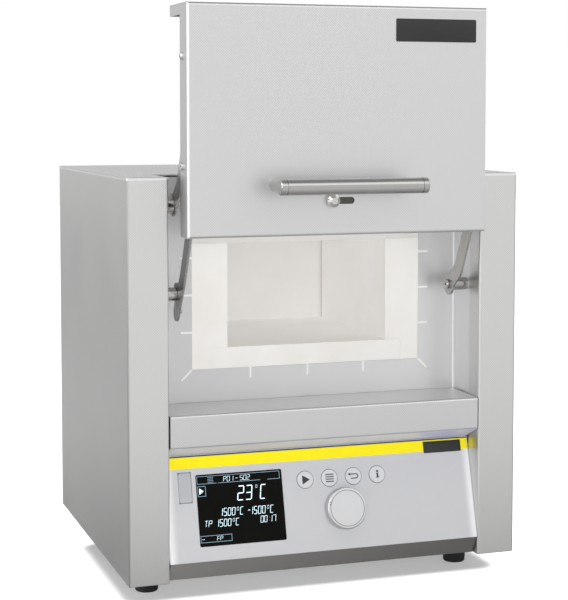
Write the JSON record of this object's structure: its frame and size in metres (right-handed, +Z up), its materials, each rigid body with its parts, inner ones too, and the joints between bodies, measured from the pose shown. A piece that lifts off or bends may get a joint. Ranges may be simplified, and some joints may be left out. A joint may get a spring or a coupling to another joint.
{
  "type": "muffle furnace",
  "caption": "Bench-top muffle furnace with a lift door on parallel arms, a brick chamber, a sheet-steel casing and a tilted control fascia with display, keys and dial.",
  "frame": {"origin": "on the bench, in the middle of the whole outline with the door up", "axes": "X to the right as seen from the front, Y to the rear, Z up"},
  "size_m": [0.385, 0.4162, 0.551],
  "materials": {
    "textured_steel": "satin",
    "plain_steel": "satin",
    "zinc_steel": "satin",
    "turned_steel": "polished",
    "fascia_paint": "satin",
    "white_brick": "matte",
    "fibre": "matte",
    "aluminium": "satin",
    "black_plastic": "matte",
    "screen": "gloss",
    "key_grey": "satin",
    "green_board": "satin",
    "grey_plastic": "satin",
    "rubber_black": "matte",
    "red_plastic": "gloss"
  },
  "bodies": {
    "casing": {"base_plate": "zinc_steel", "chamber_floor": "white_brick", "chamber_roof": "white_brick", "collar_lintel": "white_brick", "collar_sill": "white_brick", "collar_uprights": "white_brick", "control_fascia": "fascia_paint", "controller_board": "green_board", "dial_encoder": "aluminium", "display_module": "screen", "door_sill": "plain_steel", "feet": "rubber_black", "flue_tube": "turned_steel", "foot_screws": "turned_steel", "heating_plates": "white_brick", "insulation_floor": "fibre", "insulation_front": "fibre", "insulation_rear": "fibre", "insulation_shell": "zinc_steel", "insulation_sides": "fibre", "insulation_top": "fibre", "mains_inlet": "black_plastic", "mains_switch": "black_plastic", "power_relay": "grey_plastic", "rear_brick": "white_brick", "rear_cover": "zinc_steel", "recess_panel": "plain_steel", "relay_heat_sink": "aluminium", "side_panel_left": "textured_steel", "side_panel_right": "textured_steel", "stud_brackets": "zinc_steel", "terminal_block": "grey_plastic", "thermocouple": "white_brick", "top_cover": "plain_steel", "usb_socket": "turned_steel", "wall_pivot_screws": "turned_steel", "wall_studs": "turned_steel"},
    "lower_arms": {"lower_arm_left": "plain_steel", "lower_arm_right": "plain_steel"},
    "upper_arms": {"upper_arm_left": "plain_steel", "upper_arm_right": "plain_steel"},
    "door": {"door_pan": "textured_steel", "door_tray": "zinc_steel", "door_plug": "white_brick", "door_insulation": "fibre", "door_pivot_pins": "turned_steel", "handle_ends": "turned_steel", "handle_tube": "turned_steel", "flange_screws": "turned_steel", "slider_guide": "zinc_steel", "air_inlet_tube": "turned_steel"},
    "air_slider": {"air_slider": "turned_steel"},
    "dial_spindle": {"dial_spindle": "turned_steel"},
    "dial": {"control_dial": "aluminium"},
    "key_start": {"key_start": "key_grey"},
    "key_menu": {"key_menu": "key_grey"},
    "key_back": {"key_back": "key_grey"},
    "key_info": {"key_info": "key_grey"},
    "usb_flap": {"usb_flap": "key_grey"},
    "switch_rocker": {"switch_rocker": "red_plastic"}
  },
  "joints": [
    {"name": "door_lift", "type": "hinge", "parent": "casing", "child": "lower_arms", "pos_m": [0, -0.10139, 0.28621], "axis": [1, 0, 0], "range_deg": [0, 132.7]},
    {"name": "upper_link", "type": "hinge", "parent": "casing", "child": "upper_arms", "pos_m": [0, -0.10139, 0.3689], "axis": [1, 0, 0], "range_deg": [0, 132.7]},
    {"name": "door_level", "type": "hinge", "parent": "lower_arms", "child": "door", "pos_m": [0, -0.15132, 0.35673], "axis": [1, 0, 0], "range_deg": [-132.7, 0]},
    {"name": "air_slide", "type": "slide", "parent": "door", "child": "air_slider", "axis": [1, 0, 0], "range_m": [0, 0.018]},
    {"name": "dial_turn", "type": "hinge", "parent": "casing", "child": "dial_spindle", "pos_m": [0.019, -0.12592, 0.07805], "axis": [0, -0.9638, 0.2666], "continuous": true},
    {"name": "dial_push", "type": "slide", "parent": "dial_spindle", "child": "dial", "axis": [0, 0.9638, -0.2666], "range_m": [0, 0.0008], "stiffness_N_per_m": 900},
    {"name": "key_start_push", "type": "slide", "parent": "casing", "child": "key_start", "axis": [0, 0.9638, -0.2666], "range_m": [0, 0.0008], "stiffness_N_per_m": 500},
    {"name": "key_menu_push", "type": "slide", "parent": "casing", "child": "key_menu", "axis": [0, 0.9638, -0.2666], "range_m": [0, 0.0008], "stiffness_N_per_m": 500},
    {"name": "key_back_push", "type": "slide", "parent": "casing", "child": "key_back", "axis": [0, 0.9638, -0.2666], "range_m": [0, 0.0008], "stiffness_N_per_m": 500},
    {"name": "key_info_push", "type": "slide", "parent": "casing", "child": "key_info", "axis": [0, 0.9638, -0.2666], "range_m": [0, 0.0008], "stiffness_N_per_m": 500},
    {"name": "usb_flap_hinge", "type": "hinge", "parent": "casing", "child": "usb_flap", "pos_m": [-0.1349, -0.12054, 0.09471], "axis": [1, 0, 0], "range_deg": [0, 100]},
    {"name": "mains_rocker", "type": "hinge", "parent": "casing", "child": "switch_rocker", "pos_m": [0.118, 0.19311, 0.072], "axis": [-1, 0, 0], "range_deg": [0, 16]}
  ],
  "couplings": [
    {"joint": "upper_link", "follows": "door_lift", "ratio": 1},
    {"joint": "door_level", "follows": "door_lift", "ratio": -1}
  ]
}
